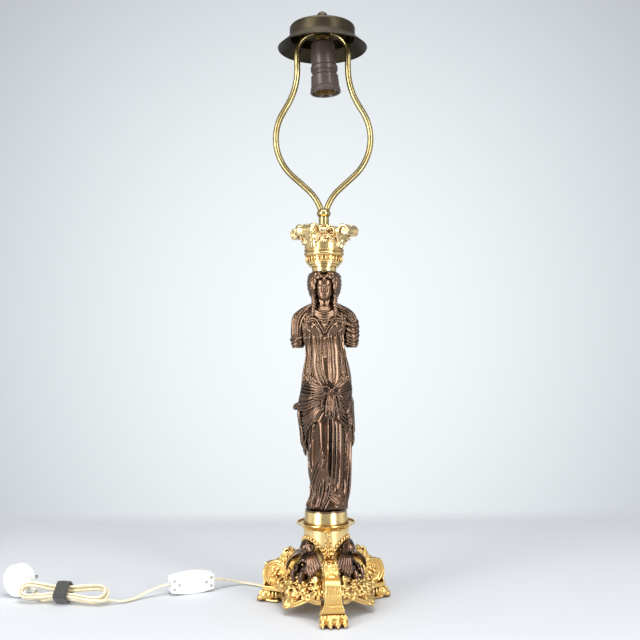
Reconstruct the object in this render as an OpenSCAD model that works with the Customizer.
// Bronze table lamp: a caryatid on a gilt tripod foot, with a lyre harp,
// a shade cap and a hanging lampholder. Millimetres, +Z up, standing on z = 0.
// The lamp's axis is the Z axis, and the front is toward -Y.

/* [Tripod foot] */
// Turn of the foot, so that its front leg points slightly to the right
foot_turn = 5.3; // [0:0.1:20]
// How far the toes stand out past the leg
paw_out = 11; // [8:0.5:13]
// Width of a paw over its toes
paw_w = 34; // [30:1:36]
// Height of a paw
paw_h = 15; // [13:0.5:17]
// Height of the square moulding above a paw
block_h = 6; // [4:0.5:8]
// Width of the square moulding above a paw
block_w = 27.6; // [26:0.2:30]
// Width of a leg above its moulding
leg_w = 17; // [15:0.5:19]
// Distance from the axis to the outer face of a leg
leg_reach = 88; // [86:0.5:90]
// Height of a leg's console panel above its moulding
console_h = 33; // [30:0.5:36]
// Wall of the cast legs
leg_wall = 3; // [2:0.25:4]
// Distance from the axis to the pointed corner of an apron
apron_reach = 66; // [62:0.5:70]
// Thickness of the apron castings
apron_t = 5; // [4:0.25:6]
// Radius of the fruits heaped on an apron
fruit_r = 6; // [4:0.5:7]

/* [Pedestal and plinth] */
// Height of the pedestal's top face above the table
pedestal_top = 94.3; // [90:0.1:98]
// Radius of the pedestal's drum
drum_r = 29.5; // [28:0.1:31]
// Radius of the arched niches behind the winged figures
niche_r = 21; // [18:0.5:23]
// Distance from the axis to the back of a niche
niche_depth = 13; // [12:0.5:15]
// Height of the plain drum ring
drum_h = 8.9; // [7:0.1:12]
// Radius of the dish's lip
dish_r = 39.1; // [37:0.1:42]
// Height of the dish
dish_h = 8.2; // [7:0.1:10]
// Radius of the plinth's collar under the figure
collar_r = 28; // [27:0.1:30]
// Height of the plinth's collar
collar_h = 14.3; // [11:0.1:17]

/* [Winged figures] */
// Radius of a winged figure's head
genius_head_r = 7.5; // [6.5:0.25:8]
// Distance from the axis to a winged figure's head
genius_reach = 31; // [29:0.5:33]
// Width of a wing
wing_w = 17; // [14:0.5:19]
// Thickness of a wing
wing_t = 2.4; // [2:0.2:3]

/* [Caryatid] */
// Thickness of the disc that the figure stands on
sole_t = 2.3; // [2:0.1:4]
// Radius of the disc that the figure stands on
sole_r = 27.3; // [26:0.1:28]
// Height from the feet to the waist
skirt_h = 203; // [195:1:210]
// Height from the waist to the neck
torso_h = 64; // [60:1:68]
// Height of the neck and head to the crown
head_h = 43.4; // [41:0.1:46]
// Half of the skirt's width at the hem
hem_r = 28.5; // [26:0.25:30]
// Half of the skirt's width at the knees
knee_r = 29.5; // [28:0.25:32]
// Half of the width over the hips and swags
hip_r = 35.5; // [33:0.25:37]
// Half of the width at the waist
waist_r = 26.5; // [25:0.25:28]
// Half of the width over the shoulders, without the arms
shoulder_r = 30; // [28:0.25:31]
// Half of the head's width with its hair
head_r = 22.5; // [21:0.25:24]
// Half of an upper arm's width in its sleeve
arm_r = 7.6; // [7:0.1:8.5]
// Wall of the hollow castings
cast_wall = 4; // [3:0.25:5]
// Depth of the gown's pleats
pleat_depth = 2.4; // [1:0.2:2.4]
// How far the wrap stands out over the hips
wrap_fall = 2.2; // [1:0.2:3]
// Radius of the girdle's knot
knot_r = 5; // [4:0.25:6]
// How far the bust swells out
breast_rise = 4; // [3:0.25:5]

/* [Capital] */
// Height of the capital
capital_h = 59; // [56:0.1:62]
// Radius of the torus ring round the capital
torus_r = 26.4; // [25:0.1:28]
// Radius of the capital's neck
capital_neck_r = 16; // [14:0.1:18]
// Distance from the axis to the curled tip of a corner leaf
leaf_reach = 45; // [42:0.5:48]
// Number of corner leaves, with a flower between each two
leaf_count = 4; // [3:1:6]
// Turn of the capital's first corner leaf
leaf_turn = 56; // [0:1:90]

/* [Harp] */
// Radius of the harp's tubes
harp_r = 4; // [3.5:0.1:4.5]
// Wall of the harp's tubes
harp_wall = 1.1; // [0.8:0.05:1.4]
// Radius of the yoke's bead
bead_r = 9.2; // [8.5:0.1:10]
// Thickness of the yoke's bead
bead_h = 10; // [9:0.1:12]
// Radius of the yoke's neck
yoke_neck_r = 6.8; // [6.6:0.1:8]
// Height of the yoke's neck
yoke_neck_h = 12; // [10:0.1:14]
// Radius of the hub at the harp's crown
hub_r = 9; // [8:0.1:11]

/* [Shade cap and finial] */
// Radius of the cap's collar, that the shade's ring is put over
cap_collar_r = 42.8; // [41:0.1:44]
// Height of the cap's collar
cap_collar_h = 15; // [12:0.1:18]
// Radius of the cap's lip
cap_lip_r = 58.5; // [56:0.1:62]
// Height of the flare below the collar
cap_flare_h = 13.6; // [11:0.1:16]
// Thickness of the cap's sheet
cap_t = 1.2; // [0.8:0.1:1.6]
// Radius of the finial's ball
finial_r = 7.7; // [7:0.1:9]
// Height of the finial's neck
finial_neck_h = 5; // [4:0.1:8]

/* [Lampholder] */
// Tilt of the holder from the vertical
holder_tilt = 3.2; // [0:0.1:5]
// Radius of the holder's dome
dome_r = 16.3; // [16.2:0.1:17]
// Height of the dome
dome_h = 40; // [38:0.5:42]
// Length of the skirt below the dome
skirt_len = 28; // [26:0.5:30]
// Radius of the holder's rim
rim_r = 20.2; // [19:0.1:21]
// Radius of the lamp cap's screw shell
shell_r = 13.3; // [13.2:0.05:13.4]
// Length of the screw shell
shell_len = 26; // [22:0.5:27]
// Wall of the screw shell
shell_wall = 0.7; // [0.5:0.05:0.8]

/* [Fixings] */
// Radius of the threaded tube through the column
tube_r = 5; // [4.8:0.05:5.2]
// Bore radius of the threaded tube
tube_bore = 3.2; // [3:0.1:3.5]
// Gap between the tube and the castings round it
tube_gap = 0.3; // [0.2:0.05:0.5]
// Gap at the seam between two castings
seam_gap = 0.3; // [0.1:0.05:0.5]
// Running gap of the screwed pieces that turn
run_gap = 0.06; // [0.03:0.01:0.1]
// Gap between faces that turn on each other
face_gap = 0.3; // [0.2:0.05:0.4]
// Radius of the wires' sheath
wire_r = 1.9; // [1.6:0.1:2.1]
// Radius of the screws in the legs and winged figures
screw_r = 2; // [1.5:0.1:2.5]

/* [Cord, switch and plug] */
// Width of the flat twin cord
cord_w = 5.4; // [5:0.1:5.6]
// Thickness of the flat twin cord
cord_t = 3; // [2.8:0.1:3.1]
// Length of the switch
switch_l = 60; // [58:1:64]
// Height of the switch at its middle, on its long edge
switch_h = 28; // [27:0.5:30]
// Thickness of the switch, over both halves
switch_t = 20; // [18:0.5:22]
// Wall of the switch
switch_wall = 2; // [1.6:0.1:2.4]
// Radius of the plug's disc
plug_r = 22.5; // [21:0.25:24]
// Thickness of the plug's disc
plug_t = 15; // [13:0.5:17]
// Radius of a plug pin
pin_r = 2.4; // [2:0.1:2.4]
// Length of the plug pins
pin_l = 19; // [18:0.5:20]
// Distance between the plug pins
pin_pitch = 19; // [18:0.5:20]
// Length of the hook-and-loop tie along the hank
tie_l = 19; // [16:0.5:22]
// Distance from the hank's middle to the end of its loops
hank_reach = 63; // [58:0.5:68]
// Step between two turns of the hank
hank_step = 3.8; // [3.6:0.1:4]

/* [Hidden] */
$fn = 48;

gilt = "goldenrod";
bronze = "saddlebrown";
bakelite = "maroon";
old_brass = "darkolivegreen";
plastic = "white";
flex = "khaki";

// Leg directions and apron corners, as turns about the axis from the front
leg_turn = [foot_turn, foot_turn + 120, foot_turn - 120];
corner_turn = [foot_turn - 60, foot_turn + 60, foot_turn + 180];

// Heights up the column
leg_z = paw_h + block_h;
console_top = leg_z + console_h;
drum_top = pedestal_top + drum_h;
dish_top = drum_top + dish_h;
collar_top = dish_top + collar_h;
feet_z = collar_top + sole_t;
waist_z = feet_z + skirt_h;
neck_z = waist_z + torso_h;
crown_z = neck_z + head_h;
capital_top = crown_z + capital_h;
bead_z = capital_top + yoke_neck_h;
yoke_top = bead_z + bead_h;

// The foot's inner floor, where the nut pulls up against the pedestal
floor_z = 34;
pedestal_floor_t = 6;
tube_below = 3;
bush_h = 3;
core_bore = tube_r + tube_gap;
washer_t = 2;
nut_t = 6;
seat_z = floor_z + pedestal_floor_t + 0.3;
seat_screw_x = niche_depth + 9;
seat_screw_l = 20;
tube_z = floor_z - washer_t - nut_t - tube_below;
bush_z = tube_z - bush_h;

// The harp's centreline, from the mitre at the yoke up to the hub: straight
// runs are [length, 0], and bends are [radius, turn away from the axis]
harp_foot_x = 3.1;
harp_lean = 22;
harp_steps = [
  [6, 0], [60, 26], [26, 0], [66, -79], [12, 0], [92, 31], [22.8, 0], [23, -90]
];
function step_end(s) = s[1] == 0 ? [0, s[0]] :
  [sign(s[1]) * s[0] * (1 - cos(s[1])), s[0] * sin(abs(s[1]))];
function rotated(p, a) = [p[0] * cos(a) + p[1] * sin(a), p[1] * cos(a) - p[0] * sin(a)];
function harp_end(i, at, a) = i == len(harp_steps) ? at :
  harp_end(i + 1, at + rotated(step_end(harp_steps[i]), a), a + harp_steps[i][1]);
harp_start = [harp_foot_x, yoke_top - 1];
harp_crown = harp_end(0, harp_start, harp_lean);
crown_run = harp_crown[0];
arch_z = harp_crown[1];
hub_h = 2 * harp_r + 5;
hub_bottom = arch_z - harp_r - 1;
hub_top = hub_bottom + hub_h;

cap_top = hub_top + face_gap + cap_t;
cap_collar_bottom = cap_top - cap_collar_h;
cap_lip_z = cap_collar_bottom - cap_flare_h;
finial_z = cap_top + face_gap;
nipple_top = finial_z + finial_neck_h + 1;
nipple_nut_h = 4;
holder_z = hub_bottom - nipple_nut_h - 1;
nipple_grip = 9;

// How far a rounded knuckle stands out where two straight runs meet at an angle
knuckle = 0.15;

// Levels inside the holder, measured down from its top
insert_top = 14;
insert_recess = 5;
shell_top = dome_h + skirt_len - shell_len - 2;

// The hank leans back on the plug
hank_at = [-352, 23, 14.6];
hank_yaw = -8;
hank_lean = 45;
hank_waist = 8.5;
hank_bulge = 19;
hank_layer = cord_w + 0.6;
hank_turns = 3;
hank_from = -44;
hank_rings = 24;
hank_sides = 6;
cord_sides = 8;

switch_at = [-188.6, 71.8, switch_h / 2];
switch_yaw = 23.6;
switch_end_h = 20;
rocker_l = 16;
rocker_w = 9;
rocker_pin = 1.5;
rocker_tilt = 7;
rocker_depth = 4.5;
contact_z = 5.5;
switch_posts = [for (s = [-1, 1], p = [[26, -5.7], [26, 5.7], [19, 0]]) [s * p[0], p[1]]];

plug_at = [-423, 54.3, plug_r];
plug_yaw = -22;
relief_l = 9;
relief_drop = 25;
pin_grip = 8;
pin_neck = 0.5;

// Hand-chosen points of the cord's free stretches; the first and last runs are
// worked out from what they meet. The tail's are along, across and above the hank
lamp_route = [
  [-2, 4, 8.5], [-8, 13, 4.8], [-18, 28, 2.9], [-34, 47, 2.4], [-58, 66, 2.4], [-85, 87, 2.4],
  [-106, 102, 2.4], [-124, 107, 4]
];
run_route = [
  [-243, 46, 8.5], [-254, 38, 4], [-263, 28, 2.6], [-273, 19, 3], [-286, 13.5, 5.5]
];
tail_route = [[-21, -3.6, 4.4], [-29, -0.6, 2.2], [-36, 4.6, 3]];

// Plain geometry helpers
function unit(v) = v / norm(v);
function last(list) = list[len(list) - 1];
function arc(c, r, from, to, n = 8) =
  [for (i = [0 : n]) let (a = from + (to - from) * i / n) c + r * [cos(a), sin(a)]];
function turned(v, a) = [v[0] * cos(a) - v[1] * sin(a), v[0] * sin(a) + v[1] * cos(a), v[2]];

// Triangles of a closed skin over rings of equally many points
function skin_faces(n, sides) = concat(
  [for (k = [1 : sides - 2]) [0, k, k + 1]],
  [for (i = [0 : n - 2], k = [0 : sides - 1], half = [0, 1])
    let (a = i * sides + k, b = i * sides + (k + 1) % sides)
    half == 0 ? [a, a + sides, b + sides] : [a, b + sides, b]],
  [for (k = [1 : sides - 2]) let (e = (n - 1) * sides) [e, e + k + 1, e + k]]
);
module skin(rings) {
  polyhedron([for (ring = rings) each ring], skin_faces(len(rings), len(rings[0])));
}

// An oval section swept along points; side points along the section's width
function oval(c, tangent, side, w, t, sides) =
  let (u = unit(side - (side * tangent) * tangent), v = cross(tangent, u))
  [for (k = [0 : sides - 1]) let (a = 360 * k / sides) c + w / 2 * cos(a) * u + t / 2 * sin(a) * v];
function tangent_at(p, i) = unit(p[min(i + 1, len(p) - 1)] - p[max(i - 1, 0)]);
function sweep(points, sides_of, w, t, sides) =
  [for (i = [0 : len(points) - 1])
    oval(points[i], tangent_at(points, i), sides_of[i], w, t, sides)];

// Straight run at each end of a stretch of the cord
lead = cord_w + 1;

// The hank's frame: along it, up its leaning plane, and square to that plane
hank_a = turned([1, 0, 0], hank_yaw);
hank_h = turned([0, 1, 0], hank_yaw);
hank_b = cos(hank_lean) * hank_h + [0, 0, sin(hank_lean)];
hank_n = [0, 0, cos(hank_lean)] - sin(hank_lean) * hank_h;
module in_hank() {
  multmatrix([for (i = [0 : 2]) [hank_a[i], hank_b[i], hank_n[i], hank_at[i]]]) children();
}

// The outer turn's outline, drawn in at the waist, and a point of the winding
function hank_outline(f) =
  [hank_reach * cos(f), hank_waist * sin(f) + hank_bulge * sin(f) * pow(cos(f), 2)];
hank_wound = 360 * hank_turns + 90 + hank_from;
function hank_point(t) =
  let (f = hank_from - t, d = unit(hank_outline(f + 0.5) - hank_outline(f - 0.5)),
       inset = hank_step * min(t, hank_wound - t) / 360,
       p = hank_outline(f) + inset * [-d[1], d[0]],
       layer = 0.5 - ease((t - hank_wound / 2 + 60) / 120))
  hank_at + p[0] * hank_a + p[1] * hank_b + layer * hank_layer * hank_n;
hank_count = ceil(hank_wound * hank_rings / 360);
hank_points = concat([hank_point(0) + lead * hank_a],
  [for (i = [0 : hank_count]) hank_point(hank_wound * i / hank_count)],
  [hank_point(hank_wound) - (tie_l / 2 + 2) * hank_a]);
hank_skin = sweep(hank_points, [for (p = hank_points) hank_n], cord_w, cord_t, hank_sides);

// Inside of the tie: round the strands of the waist, with a little play
tie_in = [2 * hank_waist + cord_t + 1.4, hank_layer + cord_w + 1.6];

// The cord's stretches, each end straight for one cord's width
function from_hank(p) = [hank_at[0], hank_at[1], 0] + p[0] * hank_a + p[1] * hank_h + [0, 0, p[2]];
switch_u = turned([1, 0, 0], switch_yaw);
lamp_points = concat(
  [[0, 0, bush_z], [0, 0, bush_z - lead]], lamp_route,
  [switch_at + (switch_l / 2 + lead) * switch_u, switch_at + (switch_l / 2 - 3) * switch_u]);
run_points = concat(
  [switch_at - (switch_l / 2 - 3) * switch_u, switch_at - (switch_l / 2 + lead) * switch_u], run_route,
  [hank_points[0] + lead * hank_a, hank_points[0]]);
relief_way = turned([cos(relief_drop), 0, -sin(relief_drop)], plug_yaw);
tail_points = concat(
  [last(hank_points), last(hank_points) - 2 * hank_a],
  [for (p = tail_route) from_hank(p)],
  [plug_at + (plug_r + relief_l + lead) * relief_way, plug_at + (plug_r + relief_l - 3.5) * relief_way]);

// A loft of ovals, from rows of [z, x, y, half width, half depth]
module loft(rows, sides = 28) {
  skin([for (row = rows) [for (k = [0 : sides - 1]) let (a = 360 * k / sides)
    [row[1] + row[3] * cos(a), row[2] + row[4] * sin(a), row[0]]]]);
}
// A size of the rows at a height between theirs
function size_at(rows, z, column) = lookup(z, [for (row = rows) [row[0], row[column]]]);
function sum(list) = list * [for (v = list) 1];
// How far a surface swells at an angle and height, for spots of [angle, z, degrees, height, rise]
function swell(a, z, spots) = sum([for (spot = spots)
  spot[4] * exp(-pow((a - spot[0]) / spot[2], 2) - pow((z - spot[1]) / spot[3], 2))]);
// A body of ovals at the heights asked for, its forms swelling out and its pleats pressed in
// as deep as the rows of [z, depth] say
module body(rows, heights, depths, spots, pleats = 16, sides = 64) {
  skin([for (z = heights) [for (k = [0 : sides - 1])
    let (a = 360 * k / sides, out = swell(a, z, spots) - lookup(z, depths) * (1 - cos(pleats * a)) / 2,
         wide = size_at(rows, z, 3) + out, deep = size_at(rows, z, 4) + out)
    [size_at(rows, z, 1) + wide * cos(a), size_at(rows, z, 2) + deep * sin(a), z]]]);
}
// The rows of a casting's hollow, open at its bottom and closed at its top
function hollow(rows) = let (n = len(rows) - 1) [for (i = [0 : n])
  [rows[i][0] + (i == 0 ? -1 : i == n ? -cast_wall : 0), rows[i][1], rows[i][2],
   rows[i][3] - cast_wall - pleat_depth / 4, rows[i][4] - cast_wall - pleat_depth / 4]];

module tube(r, bore, h) {
  difference() {
    cylinder(h = h, r = r);
    translate([0, 0, -1]) cylinder(h = h + 2, r = bore);
  }
}

module rounded(w, h, r) {
  square([w - 2 * r, h], center = true);
  square([w, h - 2 * r], center = true);
  for (x = [-1, 1], y = [-1, 1]) translate([x * (w / 2 - r), y * (h / 2 - r)]) circle(r);
}

// The harp's centreline as points, bends in steps of about 8 degrees
function bend_points(s, at, a) = s[1] == 0 ? [at] :
  let (n = ceil(abs(s[1]) / 8))
  [for (k = [0 : n - 1]) k == 0 ? at : at + rotated(step_end([s[0], s[1] * k / n]), a)];
function harp_line(i, at, a) = i == len(harp_steps) ? [at] :
  concat(bend_points(harp_steps[i], at, a),
         harp_line(i + 1, at + rotated(step_end(harp_steps[i]), a), a + harp_steps[i][1]));
harp_path = [for (p = harp_line(0, harp_start, harp_lean)) [p[0], 0, p[1]]];
module harp_rod(r, sides) {
  points = concat([harp_path[0] - 3 * unit(harp_path[1] - harp_path[0])], harp_path, [[0.2, 0, arch_z]]);
  skin(sweep(points, [for (p = points) [0, 1, 0]], 2 * r, 2 * r, sides));
}

// Half of the harp: a brass tube, mitred at the yoke and let into the hub
module harp_half() {
  difference() {
    harp_rod(harp_r, 16);
    harp_rod(harp_r - harp_wall, 12);
    translate([-50, -50, yoke_top - 20]) cube([50.03, 100, 60]);
    translate([-50, -50, yoke_top - 20]) cube([100, 100, 20.03]);
    translate([0, 0, hub_bottom - 5]) cylinder(h = hub_h + 10, r = hub_r);
  }
}
module harp_right() {
  color("gold") harp_half();
}
module harp_left() {
  color("gold") mirror([1, 0, 0]) harp_half();
}

module harp_hub() {
  color("gold") difference() {
    translate([0, 0, hub_bottom]) cylinder(h = hub_h, r = hub_r);
    translate([0, 0, hub_bottom - 1]) cylinder(h = hub_h + 2, r = tube_r + tube_gap);
    translate([0, 0, arch_z]) rotate([0, 90, 0]) cylinder(h = hub_r + 1, r = harp_r - harp_wall);
  }
}

module top_nipple() {
  color("gold") difference() {
    union() {
      translate([0, 0, holder_z]) cylinder(h = nipple_top - holder_z, r = tube_r);
      translate([0, 0, holder_z]) rotate([0, -holder_tilt, 0])
        translate([0, 0, -nipple_grip]) cylinder(h = nipple_grip, r = tube_r);
      translate([0, 0, holder_z]) sphere(r = tube_r + knuckle);
    }
    translate([0, 0, holder_z]) cylinder(h = arch_z + tube_bore - holder_z, r = tube_bore);
    translate([0, 0, holder_z]) rotate([0, -holder_tilt, 0])
      translate([0, 0, -nipple_grip - 1]) cylinder(h = nipple_grip + 1, r = tube_bore);
    translate([0, 0, holder_z]) sphere(r = tube_bore + knuckle);
    translate([0, 0, arch_z]) rotate([0, 90, 0]) cylinder(h = tube_r + 1, r = harp_r - harp_wall);
  }
}

module nipple_nut() {
  color("gold") translate([0, 0, hub_bottom - nipple_nut_h]) difference() {
    cylinder(h = nipple_nut_h, r = tube_r + 3.5, $fn = 6);
    translate([0, 0, -1]) cylinder(h = nipple_nut_h + 2, r = tube_r + tube_gap);
  }
}

// The cap: flat top, rounded shoulder, straight collar and flared lip
module shade_cap() {
  shoulder = 4;
  flare = [cap_lip_r - cap_collar_r, -cap_flare_h];
  across = cap_t * [-flare[1], flare[0]] / norm(flare);
  color(old_brass) rotate_extrude($fn = 96) polygon(concat(
    [[tube_r + run_gap, cap_top - cap_t], [tube_r + run_gap, cap_top]],
    arc([cap_collar_r - shoulder, cap_top - shoulder], shoulder, 90, 0),
    [[cap_collar_r, cap_collar_bottom], [cap_lip_r, cap_lip_z],
     [cap_lip_r, cap_lip_z] - across, [cap_collar_r - cap_t, cap_collar_bottom - cap_t]],
    arc([cap_collar_r - shoulder, cap_top - shoulder], shoulder - cap_t, 0, 90)
  ));
}

module finial() {
  ball_z = finial_z + finial_neck_h + finial_r - 1.2;
  color(old_brass) difference() {
    union() {
      translate([0, 0, finial_z]) cylinder(h = finial_neck_h + 2, r = tube_r + 1.6);
      translate([0, 0, ball_z]) sphere(r = finial_r);
    }
    translate([0, 0, finial_z - 1]) cylinder(h = nipple_top + face_gap - finial_z + 1, r = tube_r + run_gap);
  }
}

// The holder's own frame: its top face at the origin, its mouth down
module in_holder() {
  translate([0, 0, holder_z]) rotate([0, -holder_tilt, 0]) children();
}
neck_r = shell_r + shell_wall + 1.5;
neck_len = 8;

module holder_dome() {
  ridge_r = dome_r + 1.4;
  color(bakelite) in_holder() difference() {
    rotate_extrude() polygon(concat(
      [[0, 0]], arc([9, -7], 7, 90, 20), [[dome_r, -20], [dome_r, -dome_h + 8],
      [ridge_r, -dome_h + 6], [ridge_r, -dome_h + 1], [dome_r, -dome_h], [0, -dome_h]]
    ));
    translate([0, 0, -dome_h - 1]) cylinder(h = dome_h - insert_top + 3, r = neck_r + run_gap);
    translate([0, 0, -insert_top + 1]) cylinder(h = 4, r = neck_r - 3);
    translate([0, 0, -insert_top]) cylinder(h = insert_top + 1, r = tube_r + tube_gap);
  }
}

module holder_skirt() {
  rim_z = -dome_h - skirt_len;
  inner = shell_r + shell_wall + face_gap;
  color(bakelite) in_holder() rotate_extrude() polygon([
    [inner, -dome_h + neck_len], [neck_r, -dome_h + neck_len], [neck_r, -dome_h - face_gap],
    [dome_r + 0.2, -dome_h - face_gap], [dome_r + 0.2, -dome_h - 1.5], [neck_r + 0.3, -dome_h - 2.5],
    [neck_r + 0.3, -dome_h - 4], [rim_r - 2.4, -dome_h - 6], [rim_r - 1.7, rim_z + 8],
    [rim_r - 1, rim_z + 7], [rim_r, rim_z + 1], [rim_r - 0.8, rim_z], [rim_r - 2.6, rim_z],
    [inner + 1.2, rim_z + 9], [inner, rim_z + 11]
  ]);
}

module holder_insert() {
  top = insert_top + 2.5;
  color("ivory") in_holder() difference() {
    translate([0, 0, -shell_top]) cylinder(h = shell_top - top, r = neck_r - 3);
    translate([0, 0, -shell_top - 1]) cylinder(h = insert_recess + 1, r = 4.5);
    translate([0, 0, -shell_top + insert_recess - 1]) cylinder(h = shell_top, r = wire_r + tube_gap);
  }
}

module screw_shell() {
  outer = shell_r + shell_wall;
  color("gold") in_holder() difference() {
    translate([0, 0, -shell_top - shell_len]) cylinder(h = shell_len, r = outer);
    translate([0, 0, -shell_top - shell_len - 1]) cylinder(h = shell_len, r = shell_r);
    translate([0, 0, -shell_top - 2]) cylinder(h = 3, r = 6);
  }
}

module centre_contact() {
  color("gold") in_holder() translate([0, 0, -shell_top - 0.5]) {
    cylinder(h = insert_recess + 0.5, r = 2);
    cylinder(h = 1.5, r = 3.5);
  }
}

// The yoke: a bead on a neck, hollow for the wires, screwed on the tube
module harp_yoke() {
  bead = bead_h / 2;
  color("gold") difference() {
    translate([0, 0, capital_top]) rotate_extrude() polygon(concat(
      [[0, 0], [yoke_neck_r + 0.8, 0], [yoke_neck_r, 2.5], [yoke_neck_r, yoke_neck_h]],
      arc([bead_r - bead, yoke_neck_h + bead], bead, -70, 90, 12), [[0, yoke_neck_h + bead_h]]
    ));
    translate([0, 0, capital_top - 1]) cylinder(h = yoke_neck_h - 1, r = tube_r + run_gap);
    translate([0, 0, capital_top]) cylinder(h = yoke_neck_h, r = tube_bore);
    translate([0, 0, bead_z]) sphere(r = tube_bore + knuckle);
    wire_foot(tube_bore - 0.4);
    translate([harp_start[0], 0, harp_start[1]]) {
      sphere(r = tube_bore - 0.4 + knuckle);
      rotate([0, harp_lean, 0]) cylinder(h = 4, r = tube_bore - 0.4);
    }
  }
}

// The slanted way between the yoke's middle and the harp's right tube
module wire_foot(r) {
  reach = [harp_start[0], 0, harp_start[1] - bead_z];
  translate([0, 0, bead_z]) rotate([0, atan2(reach[0], reach[2]), 0]) cylinder(h = norm(reach), r = r);
}

// The sheathed wires, up the column, round the right tube and down to the holder
module lamp_wire() {
  color("dimgray") {
    translate([0, 0, bush_z]) cylinder(h = bead_z - bush_z, r = wire_r);
    translate([0, 0, bead_z]) sphere(r = wire_r + knuckle);
    wire_foot(wire_r);
    translate([harp_start[0], 0, harp_start[1]]) sphere(r = wire_r + knuckle);
    harp_rod(wire_r - 0.1, 8);
    translate([0, 0, arch_z]) sphere(r = wire_r + knuckle);
    translate([0, 0, holder_z]) cylinder(h = arch_z - holder_z, r = wire_r);
    in_holder() {
      sphere(r = wire_r + knuckle);
      translate([0, 0, -shell_top + insert_recess + 0.3])
        cylinder(h = shell_top - insert_recess - 0.3, r = wire_r);
    }
  }
}

// The basket of the capital, turned, with its egg-and-dart band
module capital() {
  z = [crown_z, crown_z + 6, crown_z + 9, crown_z + 20, crown_z + 25, capital_top - 14, capital_top - 4];
  band_r = torus_r - 3.6;
  color(gilt) difference() {
    union() {
      translate([0, 0, z[0]]) cylinder(h = z[1] - z[0], r = capital_neck_r);
      translate([0, 0, z[1]]) cylinder(h = z[2] - z[1], r = capital_neck_r + 3.5);
      translate([0, 0, z[2]]) cylinder(h = z[3] - z[2], r1 = band_r - 0.6, r2 = band_r);
      translate([0, 0, (z[3] + z[4]) / 2]) rotate_extrude() translate([torus_r - 2.5, 0]) circle(2.5);
      translate([0, 0, z[3]]) cylinder(h = z[4] - z[3], r = torus_r - 2.5);
      translate([0, 0, z[4]]) cylinder(h = z[5] - z[4], r1 = torus_r - 1.5, r2 = torus_r + 0.5);
      translate([0, 0, z[5]]) cylinder(h = z[6] - z[5], r1 = torus_r + 0.5, r2 = torus_r + 5);
      translate([0, 0, z[6]]) cylinder(h = capital_top - z[6], r = tube_r + 8);
    }
    translate([0, 0, z[0] - 1]) cylinder(h = capital_h + 2, r = core_bore);
    translate([0, 0, z[3]]) cylinder(h = z[6] - z[3] - cast_wall, r = torus_r - 3 - cast_wall);
  }
}

// Curled corner leaves, standing off the basket's rim
module capital_leaves() {
  curl = 6.5;
  root = torus_r + 3;
  color(gilt) for (i = [0 : leaf_count - 1]) rotate([0, 0, leaf_turn + i * 360 / leaf_count])
    difference() {
      union() {
        translate([root, -9, capital_top - 11]) cube([leaf_reach - curl - root, 18, 9]);
        translate([leaf_reach - curl, 10, capital_top - curl - 1]) rotate([90, 0, 0])
          cylinder(h = 20, r = curl);
        translate([leaf_reach - curl - 2, 6, capital_top - curl - 7]) rotate([90, 0, 0])
          cylinder(h = 12, r = 3.5);
      }
      translate([0, 0, capital_top - 30]) cylinder(h = 40, r = root + 2.4);
    }
}

module capital_flowers() {
  color(gilt) for (i = [0 : leaf_count - 1]) rotate([0, 0, leaf_turn + (i + 0.5) * 360 / leaf_count])
    difference() {
      translate([torus_r - 1, 0, capital_top - 17]) rotate([0, 78, 0]) cylinder(h = 5.5, r1 = 7.5, r2 = 5);
      translate([0, 0, capital_top - 34])
        cylinder(h = 20, r1 = torus_r - 1.5 + seam_gap, r2 = torus_r + 0.5 + seam_gap);
      translate([0, 0, capital_top - 14]) cylinder(h = 12, r1 = torus_r + 0.5 + seam_gap, r2 = torus_r + 5.9);
    }
}

// The figure's pieces are lofts: [height, x, y, half width, half depth]
module figure_head() {
  color(bronze) difference() {
    loft([
      [neck_z, 0, 0, 13, 11], [neck_z + 3, 0, -0.5, 9.5, 9.5], [neck_z + 9, 0, -1, 10, 10],
      [neck_z + 13, 0, -1, head_r - 6, 14], [neck_z + 19, 0, -1, head_r - 2, 17],
      [neck_z + 28, 0, 0, head_r, 19.5], [neck_z + 36, 0, 0, head_r - 1.5, 18.5],
      [crown_z - 3, 0, 0, head_r - 5, 15.5], [crown_z, 0, 0, head_r - 8, 12]
    ], 24);
    translate([0, 0, neck_z - 1]) cylinder(h = head_h + 2, r = core_bore);
  }
}

torso_rows = [
  [waist_z, 1, 0, waist_r, 18.5], [waist_z + 10, -1, -1, waist_r - 1.5, 18],
  [waist_z + 22, -2, -2, waist_r - 1, 20], [waist_z + 34, -1, -3, waist_r + 1, 22],
  [waist_z + 42, 0, -1, shoulder_r - 1, 20], [waist_z + 50, 0, 0, shoulder_r, 17],
  [waist_z + 56, 0, 0, shoulder_r - 4, 15], [waist_z + 60, 0, 0, shoulder_r - 10, 13],
  [neck_z, 0, 0, 13, 11]
];
// The belly, a spot as swell() takes it, and the height of the bust
belly = [270, feet_z + 185, 38, 16, 3.2];
bust_z = waist_z + 35;
module figure_torso() {
  color(bronze) difference() {
    body(torso_rows, [for (h = [0, 10, 18, 25, 30, 35, 40, 45, 50, 56, 60, neck_z - waist_z]) waist_z + h],
         [[waist_z, pleat_depth], [bust_z - 8, pleat_depth], [bust_z + 10, 0]],
         [belly, [234, bust_z, 15, 7.5, breast_rise], [308, bust_z, 15, 7.5, breast_rise]]);
    loft(hollow(torso_rows));
    translate([0, 0, neck_z - 20]) cylinder(h = 21, r = core_bore);
  }
}

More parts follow.
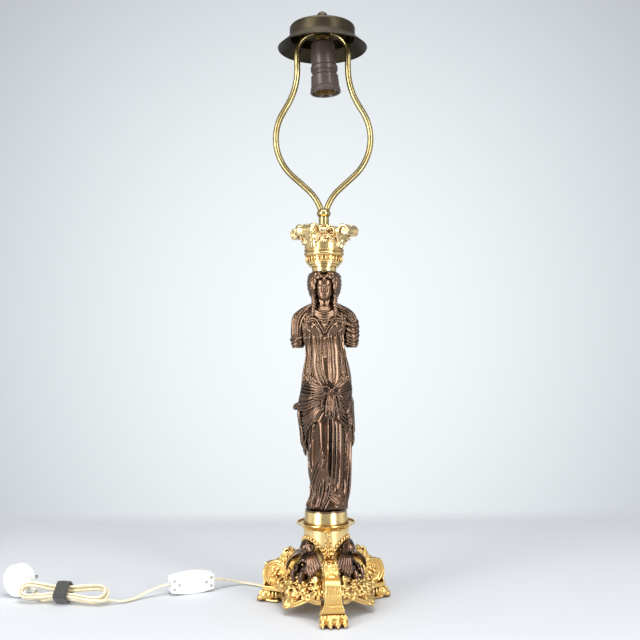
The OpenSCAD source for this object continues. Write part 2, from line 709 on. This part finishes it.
// An upper arm in its sleeve beside the torso, and a forearm behind the back
module arm(side) {
  inner = shoulder_r + seam_gap;
  z = [for (up = [7, 14, 27, 38, 46, 53, 58]) waist_z + up];
  color(bronze) {
    loft([
      [z[0], side * (inner + arm_r - 1), 6, arm_r - 3, 6],
      [z[1], side * (inner + arm_r), 5, arm_r - 0.5, 8.5],
      [z[2], side * (inner + arm_r), 4, arm_r, 9.5], [z[3], side * (inner + arm_r), 2, arm_r, 9.5],
      [z[4], side * (inner + arm_r - 0.6), 1, arm_r - 0.6, 9.5], [z[5], side * (inner + 4.6), 1, 4.6, 7.5],
      [z[6], side * (inner + 2), 1, 2, 4]
    ], 20);
    forearm = [
      [inner + arm_r, 5, z[1] - 2], [inner + arm_r - 4, 12, z[1] - 2], [inner - 2, 17.5, z[1] - 1],
      [inner - 12, 22.5, z[1]], [inner - 19, 24.5, z[1] + 2], [8, 25, z[1] + 3]
    ];
    way = [for (p = forearm) [side * p[0], p[1], p[2]]];
    skin(sweep(way, [for (p = way) [0, 0, 1]], 10.5, 8.5, 12));
  }
}
module figure_arm_left() {
  arm(-1);
}
module figure_arm_right() {
  arm(1);
}

gown_rows = [
  [feet_z, 1.5, 0, hem_r + 0.5, 22.5], [feet_z + 6, 2, 0, hem_r + 0.2, 22.5],
  [feet_z + 22, 5.2, -0.5, hem_r - 1.2, 20.6], [feet_z + 50, 4.8, -1, hem_r + 1, 21.2],
  [feet_z + 76, 4.8, -2, knee_r - 0.3, 23.7], [feet_z + 109, 4, -2, hip_r - 4.3, 25.2],
  [feet_z + 134, 2, -1.5, hip_r - 2.8, 24.8], [feet_z + 158, 2, -1, hip_r - 2, 25],
  [feet_z + 181, 2, -1, waist_r + 5.5, 22], [waist_z, 1, 0, waist_r, 18.5]
];
// The wrap over the hips: the height of its hem over the feet by the angle round the figure,
// and its size by the height: [height over the feet, x, half width, half depth]
wrap_hem = [[0, 114], [30, 100], [60, 108], [90, 98], [120, 106], [150, 94], [186, 72], [212, 100],
            [244, 116], [284, 122], [326, 105], [348, 122], [360, 114]];
wrap_top = 161;
wrap_rows = [[68, 4.6, hip_r - 2.6, 26.4], [109, 3.2, hip_r - 0.8, 27.4], [134, 0, hip_r + wrap_fall, 27.4],
             [152, 1.6, hip_r, 26.8], [wrap_top, 1.8, hip_r - 1, 26.2]];
module wrap(sides = 48) {
  skin([for (f = [0, 0.3, 0.6, 0.85, 1]) [for (k = [0 : sides - 1])
    let (a = 360 * k / sides, h = lookup(a, wrap_hem) * (1 - f) + wrap_top * f)
    [size_at(wrap_rows, h, 1) + size_at(wrap_rows, h, 2) * cos(a),
     size_at(wrap_rows, h, 3) * sin(a) - 1.5, feet_z + h]]]);
}
module figure_skirt() {
  color(bronze) difference() {
    union() {
      body(gown_rows,
           [for (h = [0, 6, 14, 22, 36, 50, 63, 76, 92, 109, 134, 158, 170, 181, 192, skirt_h]) feet_z + h],
           [[feet_z, pleat_depth], [waist_z, pleat_depth]],
           // the thigh pressing forward under the cloth
           [belly, [250, feet_z + 76, 24, 34, 2.4]]);
      wrap();
      // the girdle's knot and its hanging ends
      loft([[feet_z + 149, 8.5, -26, 2, 1], [feet_z + 152, 8.5, -26, knot_r, 4.4],
            [feet_z + 158, 8.5, -26, knot_r, 4.4], [feet_z + 161, 8.5, -26, 2, 1]], 12);
      loft([[feet_z + 121, 7.7, -27, knot_r + 1, 3.6], [feet_z + 138, 7.7, -27.5, knot_r, 3.6],
            [feet_z + 153, 8.5, -26, knot_r - 2, 2.5]], 12);
    }
    loft(hollow(gown_rows), 32);
    translate([0, 0, waist_z - 20]) cylinder(h = 21, r = core_bore);
  }
}

module figure_sole() {
  color(bronze) translate([0, 0, collar_top]) tube(sole_r, core_bore, sole_t);
}

module plinth_collar() {
  color(gilt) difference() {
    translate([0, 0, dish_top]) cylinder(h = collar_h, r1 = collar_r + 0.8, r2 = collar_r - 0.5);
    translate([0, 0, dish_top - 1]) cylinder(h = collar_h + 2, r = core_bore);
  }
}

module plinth_dish() {
  color(gilt) difference() {
    translate([0, 0, drum_top]) rotate_extrude() polygon([
      [core_bore, 0], [drum_r, 0], [drum_r + 1, 1.6], [drum_r + 3.5, 2.4], [dish_r - 3, dish_h - 3],
      [dish_r, dish_h - 0.8], [dish_r - 0.4, dish_h], [dish_r - 2, dish_h], [core_bore, dish_h]
    ]);
    translate([0, 0, drum_top + dish_h - 1.8]) tube(dish_r - 2, collar_r + 1.6, 3);
  }
}

module plinth_drum() {
  color(gilt) translate([0, 0, pedestal_top]) tube(drum_r, core_bore, drum_h);
}

// The pedestal: a drum cut by three arched niches, on a round floor
module pedestal() {
  cut = 40;
  color(gilt) difference() {
    translate([0, 0, floor_z]) cylinder(h = pedestal_top - floor_z, r = drum_r);
    for (turn = corner_turn) rotate([0, 0, turn - 90]) {
      translate([niche_depth, 0, pedestal_top - niche_r - 4]) rotate([0, 90, 0])
        cylinder(h = cut, r = niche_r);
      translate([niche_depth, -niche_r, floor_z + pedestal_floor_t])
        cube([cut, 2 * niche_r, pedestal_top - niche_r - 4 - floor_z - pedestal_floor_t]);
    }
    translate([0, 0, floor_z - 1]) cylinder(h = pedestal_top, r = core_bore);
    for (turn = corner_turn) rotate([0, 0, turn - 90]) translate([seat_screw_x, 0, floor_z - 1])
      cylinder(h = pedestal_floor_t + 2, r = screw_r + 0.2);
  }
}

// A leg: console panel, moulding and a hollow below, in the (radius, z) plane
leg_root = drum_r + seam_gap;
module leg(turn) {
  drop = console_top - 18;
  color(gilt) rotate([0, 0, turn - 90]) difference() {
    union() {
      translate([0, leg_w / 2, 0]) rotate([90, 0, 0]) linear_extrude(leg_w) {
        translate([leg_reach - 19, leg_z + 16]) intersection() {
          circle(19, $fn = 64);
          translate([-30, -16]) square([60, 60]);
        }
        translate([leg_reach - 33, leg_z]) square([31, 17]);
        polygon([[leg_root, floor_z + 4], [leg_reach - 20, leg_z + 6], [leg_reach - 20, console_top + 1],
                 [leg_reach - 28, console_top + 14], [leg_reach - 36, console_top + 14],
                 [leg_root, pedestal_top - 26]]);
      }
      translate([leg_reach - 28, -block_w / 2, paw_h]) cube([28, block_w, block_h]);
    }
    translate([leg_reach - 29, -block_w / 2 + leg_wall, paw_h - 1])
      cube([25, block_w - 2 * leg_wall, block_h - leg_wall + 1]);
    translate([leg_reach - 12, 0, leg_z - leg_wall - 1]) cylinder(h = 20, r = screw_r + 0.2);
  }
}
module leg_front() {
  leg(leg_turn[0]);
}
module leg_right() {
  leg(leg_turn[1]);
}
module leg_left() {
  leg(leg_turn[2]);
}

// A lion's paw: a pad with four toes, flat underneath
module paw(turn) {
  toe = paw_h * 0.42;
  pad_r = leg_reach - 14;
  color(gilt) rotate([0, 0, turn - 90]) difference() {
    union() {
      hull() {
        for (y = [-1.5, -0.5, 0.5, 1.5])
          translate([leg_reach + paw_out - toe - abs(y) * 2.2, y * (paw_w - 2 * toe) / 3, toe - 0.6])
            sphere(r = toe, $fn = 16);
        translate([pad_r, -block_w / 2 + 2, 0]) cube([1, block_w - 4, paw_h]);
        translate([leg_reach - 3, -block_w / 2 + 3, paw_h - 1]) cube([1, block_w - 6, 1]);
      }
      translate([pad_r - 12, -block_w / 2, 0]) cube([13, leg_wall, paw_h]);
      translate([pad_r - 12, block_w / 2 - leg_wall, 0]) cube([13, leg_wall, paw_h]);
    }
    translate([pad_r - 20, -paw_w, -10]) cube([60, 2 * paw_w, 10]);
    translate([leg_reach - 12, 0, -1]) cylinder(h = paw_h + 2, r = screw_r + 0.2);
    translate([leg_reach - 12, 0, -1]) cylinder(h = 5, r = screw_r + 2.4);
  }
}
module paw_front() {
  paw(leg_turn[0]);
}
module paw_right() {
  paw(leg_turn[1]);
}
module paw_left() {
  paw(leg_turn[2]);
}

// An apron between two legs: a falling plate with a pointed corner and fruits
module apron(turn) {
  inner = drum_r + seam_gap;
  half = 60;
  side = leg_w / 2 + seam_gap;
  slope = [[inner, floor_z + 4], [apron_reach * 0.62, floor_z - 1],
           [apron_reach * 0.78, floor_z - 9], [apron_reach, 11]];
  color(gilt) rotate([0, 0, turn - 90]) {
    difference() {
      intersection() {
        translate([0, half, 0]) rotate([90, 0, 0]) linear_extrude(2 * half)
          polygon(concat(slope, [for (i = [len(slope) - 1 : -1 : 0]) slope[i] - [0, apron_t]]));
        linear_extrude(60) polygon([
          [0, 0], [20, 34.6 - side / cos(60) * 0.9], [49, 58], [50, 30], [apron_reach - 4, 8],
          [apron_reach, 0], [apron_reach - 4, -8], [50, -30], [49, -58], [20, -34.6 + side / cos(60) * 0.9]
        ]);
      }
      for (s = [-1, 1]) rotate([0, 0, 60 * s]) {
        translate([0, -side, 0]) cube([leg_reach, 2 * side, 80]);
        translate([leg_reach - 28.3, -block_w / 2 - 0.3, 0]) cube([40, block_w + 0.6, 80]);
      }
      cylinder(h = 80, r = inner);
    }
    for (p = [[apron_reach - 12, -7], [apron_reach - 12, 7], [apron_reach - 20, -17], [apron_reach - 20, 17]])
      translate([p[0], p[1], floor_z - 9 - (p[0] - apron_reach * 0.78) * 0.7 + fruit_r * 0.5])
        sphere(r = fruit_r, $fn = 32);
  }
}
module apron_front_left() {
  apron(corner_turn[0]);
}
module apron_front_right() {
  apron(corner_turn[1]);
}
module apron_back() {
  apron(corner_turn[2]);
}

// A seated winged figure in its niche, its wings reaching to both legs
module genius(turn) {
  head_z = seat_z + 42;
  color(bronze) rotate([0, 0, turn - 90]) {
    translate([genius_reach, 0, head_z]) sphere(r = genius_head_r);
    difference() {
      translate([genius_reach - 5, 0, seat_z]) rotate([0, 4, 0]) cylinder(h = 38, r1 = 9, r2 = 6);
      translate([0, 0, seat_z - 2]) cube([60, 40, 4], center = true);
      translate([seat_screw_x, 0, seat_z - 1]) cylinder(h = seat_screw_l, r = screw_r + 0.2);
    }
    for (s = [-1, 1]) {
      hull() {
        translate([genius_reach - 3, s * 6, seat_z + 6]) sphere(r = 5, $fn = 16);
        translate([genius_reach + 12, s * 9, seat_z + 9]) sphere(r = 3.6, $fn = 16);
      }
      hull() {
        translate([genius_reach + 12, s * 9, seat_z + 9]) sphere(r = 3.6, $fn = 16);
        translate([genius_reach + 14, s * 8, seat_z - 1.5]) sphere(r = 2.6, $fn = 16);
      }
      hull() {
        translate([genius_reach - 8, s * 4, head_z - 12]) sphere(r = wing_t, $fn = 12);
        translate([genius_reach + 3, s * 8, head_z - 9]) sphere(r = wing_t / 2, $fn = 12);
        translate([genius_reach + 1, s * 36, console_top + 5]) sphere(r = wing_t / 2, $fn = 12);
        translate([genius_reach + 1 + wing_w * 0.6, s * 34, console_top + 3])
          sphere(r = wing_t / 2, $fn = 12);
      }
    }
  }
}
module genius_front_left() {
  genius(corner_turn[0]);
}
module genius_front_right() {
  genius(corner_turn[1]);
}
module genius_back() {
  genius(corner_turn[2]);
}

// Screws: up through each paw into its leg, and under each winged figure
module leg_screws() {
  color("gold") for (turn = leg_turn) rotate([0, 0, turn - 90]) translate([leg_reach - 12, 0, 0]) {
    translate([0, 0, 1.5]) cylinder(h = 2.5, r = screw_r + 2);
    translate([0, 0, 3]) cylinder(h = leg_z + 10, r = screw_r);
  }
}
module genius_screws() {
  color("gold") for (turn = corner_turn) rotate([0, 0, turn - 90])
    translate([seat_screw_x, 0, floor_z - 2.2]) {
      cylinder(h = 2.2, r = screw_r + 1.6);
      cylinder(h = seat_screw_l, r = screw_r);
    }
}

module tie_tube() {
  color("silver") translate([0, 0, tube_z]) tube(tube_r, tube_bore, bead_z - 2.2 - tube_z);
}
module base_washer() {
  color("silver") translate([0, 0, floor_z - washer_t]) tube(tube_r + 8, tube_r + tube_gap, washer_t);
}
module base_nut() {
  color("silver") translate([0, 0, floor_z - washer_t - nut_t]) difference() {
    cylinder(h = nut_t, r = tube_r + 4.5, $fn = 6);
    translate([0, 0, -1]) cylinder(h = nut_t + 2, r = tube_r + tube_gap);
  }
}

// A grommet on the tube's lower end, where the cord goes in
module cord_bush() {
  color("dimgray") translate([0, 0, bush_z]) tube(tube_r + 1.5, cord_w / 2 + 0.25, bush_h);
}

// Sides along which the flat cord is wide: level, or leaning into the hank
function level_side(t) = norm([t[0], t[1]]) < 0.3 ? unit([-0.85, -0.5, 0]) : unit([-t[1], t[0], 0]);
function ease(x) = let (c = min(1, max(0, x))) c * c * (3 - 2 * c);
function sides_to(points, end, from) = [for (i = [0 : len(points) - 1])
  let (x = ease((i / (len(points) - 1) - from) / (1 - from)))
  (1 - x) * level_side(tangent_at(points, i)) + x * end];

module cord_lamp() {
  color(flex) skin(sweep(lamp_points, [for (i = [0 : len(lamp_points) - 1])
    level_side(tangent_at(lamp_points, i))], cord_w, cord_t, cord_sides));
}
module cord_run() {
  color(flex) skin(sweep(run_points, sides_to(run_points, hank_n, 0.5), cord_w, cord_t, cord_sides));
}
module cord_tail() {
  n = len(tail_points) - 1;
  color(flex) skin(sweep(tail_points, [for (i = [0 : n])
    let (x = ease((i - 1) / (n - 3))) (1 - x) * hank_n + x * level_side(tangent_at(tail_points, i))],
    cord_w, cord_t, cord_sides));
}

// The hank: three turns, spiralling in on its front layer and out on its back one
module cord_hank() {
  color(flex) skin(hank_skin);
}

// Least distance between points of the hank's skin that aren't near along it
hank_gap = min([for (i = [0 : len(hank_skin) - 1], j = [i + 6 : 1 : len(hank_skin) - 1])
  if (norm(hank_points[i] - hank_points[j]) < 12) each
    [for (p = hank_skin[i], q = hank_skin[j]) norm(p - q)]]);

module hank_tie() {
  color("black") in_hank() translate([-tie_l / 2, 0, 0]) rotate([90, 0, 90]) linear_extrude(tie_l)
    difference() {
      rounded(tie_in[0] + 3.2, tie_in[1] + 3.2, 5);
      rounded(tie_in[0], tie_in[1], 3.4);
    }
}

// The switch's own frame: its length along X, its screw face toward -Y
module in_switch() {
  translate(switch_at) rotate([0, 0, switch_yaw]) children();
}
module switch_outline(inset) {
  rise = (switch_h - switch_end_h) / 2;
  bow = (switch_l * switch_l / 4 + rise * rise) / (2 * rise);
  intersection() {
    square([switch_l - 2 * inset, switch_h], center = true);
    translate([0, bow - switch_h / 2]) circle(bow - inset, $fn = 180);
    translate([0, switch_h / 2 - bow]) circle(bow - inset, $fn = 180);
  }
}
// Half of the casing: a tray with screw posts, open toward +Z
module switch_half() {
  depth = switch_t / 2;
  difference() {
    union() {
      linear_extrude(switch_wall) switch_outline(0);
      linear_extrude(depth) difference() {
        switch_outline(0);
        switch_outline(switch_wall);
      }
      for (p = switch_posts) translate([p[0], p[1], 0.5]) cylinder(h = depth - 0.5, r = 2.7);
    }
    for (p = switch_posts) translate([p[0], p[1], -1]) cylinder(h = depth + 2, r = 1.4);
    translate([-switch_l / 2 - 1, 0, depth]) rotate([0, 90, 0])
      cylinder(h = switch_l + 2, r = cord_w / 2 + 0.3);
  }
}
module switch_back() {
  color(plastic) in_switch() rotate([-90, 0, 0]) translate([0, 0, -switch_t / 2]) difference() {
    switch_half();
    for (p = switch_posts) translate([p[0], p[1], -1]) cylinder(h = 2.2, r = 2.3);
  }
}
module switch_front() {
  depth = switch_t / 2;
  ear_x = 5;
  color(plastic) in_switch() rotate([90, 0, 0]) translate([0, 0, -depth]) difference() {
    union() {
      switch_half();
      for (s = [-1, 1]) translate([-ear_x / 2, s * (rocker_w / 2 + 1.6) - 1.25, 1]) cube([ear_x, 2.5, 6]);
    }
    translate([-rocker_l / 2 - 1, -rocker_w / 2 - 0.3, -1])
      cube([rocker_l + 2, rocker_w + 0.6, switch_wall + 2]);
    translate([0, -rocker_w, rocker_depth]) rotate([-90, 0, 0])
      cylinder(h = 2 * rocker_w, r = rocker_pin + run_gap);
  }
}
module switch_rocker() {
  color(plastic) in_switch() translate([0, switch_t / 2 - rocker_depth, 0]) rotate([0, 0, rocker_tilt]) {
    translate([-rocker_l / 2, -1.6, -rocker_w / 2]) cube([rocker_l, rocker_depth + 2.4, rocker_w]);
    translate([0, 0, -rocker_w / 2 - 2.6]) cylinder(h = rocker_w + 5.2, r = rocker_pin);
  }
}
module switch_screws() {
  color("silver") in_switch() for (p = switch_posts)
    translate([p[0], -switch_t / 2 + 0.3, -p[1]]) rotate([-90, 0, 0]) {
      cylinder(h = 0.9, r = 2);
      cylinder(h = switch_t - 3.5, r = 1.1);
    }
}
module switch_contacts() {
  color("gold") in_switch() for (x = [-13.5, 13.5], z = [-contact_z, contact_z])
    translate([x - 2.5, -switch_t / 2 + switch_wall, z - 2.5]) cube([5, switch_t / 2 - switch_wall + 1, 5]);
}
module switch_wires() {
  from = [switch_l / 2 - 3.4, 1.2];
  way = [16, contact_z] - from;
  color("peru") in_switch() for (s = [-1, 1], up = [-1, 1])
    translate([s * from[0], 0, up * from[1]]) rotate([0, -90 * s + s * up * atan2(way[1], -way[0]), 0])
      cylinder(h = norm(way) - 0.4, r = 0.8);
}

// The plug's own frame: its disc's middle at the origin, its pins toward +Y
module in_plug() {
  translate(plug_at) rotate([0, 0, plug_yaw]) children();
}
module plug_body() {
  edge = 4;
  color(plastic) in_plug() difference() {
    rotate([-90, 0, 0]) rotate_extrude($fn = 96) polygon(concat(
      [[0, plug_t / 2], [plug_r, plug_t / 2]],
      arc([plug_r - edge, -plug_t / 2 + edge], edge, 0, -90), [[0, -plug_t / 2]]
    ));
    for (x = [-1, 1]) translate([x * pin_pitch / 2, plug_t / 2 - pin_grip, 0]) rotate([-90, 0, 0])
      cylinder(h = pin_grip + 1, r = pin_r - 0.4 + run_gap);
  }
}
module plug_pins() {
  color("silver") in_plug() for (x = [-1, 1]) translate([x * pin_pitch / 2, plug_t / 2 - pin_grip, 0])
    rotate([-90, 0, 0]) {
      cylinder(h = pin_grip + pin_neck, r = pin_r - 0.4);
      translate([0, 0, pin_grip + pin_neck]) cylinder(h = pin_l - pin_neck - 1, r = pin_r);
      translate([0, 0, pin_grip + pin_l - 1]) cylinder(h = 1, r1 = pin_r, r2 = pin_r - 1);
    }
}
// The moulded sleeve where the cord leaves the plug's rim
module plug_relief() {
  color(plastic) in_plug() rotate([0, 90 + relief_drop, 0]) translate([0, 0, plug_r + 0.1]) difference() {
    cylinder(h = relief_l, r1 = 4.4, r2 = 3.6);
    translate([0, 0, relief_l - 4]) cylinder(h = 5, r = cord_w / 2 + 0.3);
  }
}

finial();
shade_cap();
harp_left();
harp_right();
harp_hub();
top_nipple();
nipple_nut();
holder_dome();
holder_skirt();
holder_insert();
screw_shell();
centre_contact();
harp_yoke();
lamp_wire();
capital();
capital_leaves();
capital_flowers();
figure_head();
figure_torso();
figure_arm_left();
figure_arm_right();
figure_skirt();
figure_sole();
plinth_collar();
plinth_dish();
plinth_drum();
pedestal();
leg_front();
leg_right();
leg_left();
paw_front();
paw_right();
paw_left();
apron_front_left();
apron_front_right();
apron_back();
genius_front_left();
genius_front_right();
genius_back();
leg_screws();
genius_screws();
tie_tube();
base_washer();
base_nut();
cord_bush();
cord_lamp();
switch_back();
switch_front();
switch_rocker();
switch_screws();
switch_contacts();
switch_wires();
cord_run();
cord_hank();
hank_tie();
cord_tail();
plug_relief();
plug_body();
plug_pins();
echo(hank_least_gap_mm = hank_gap);  // cord_hank
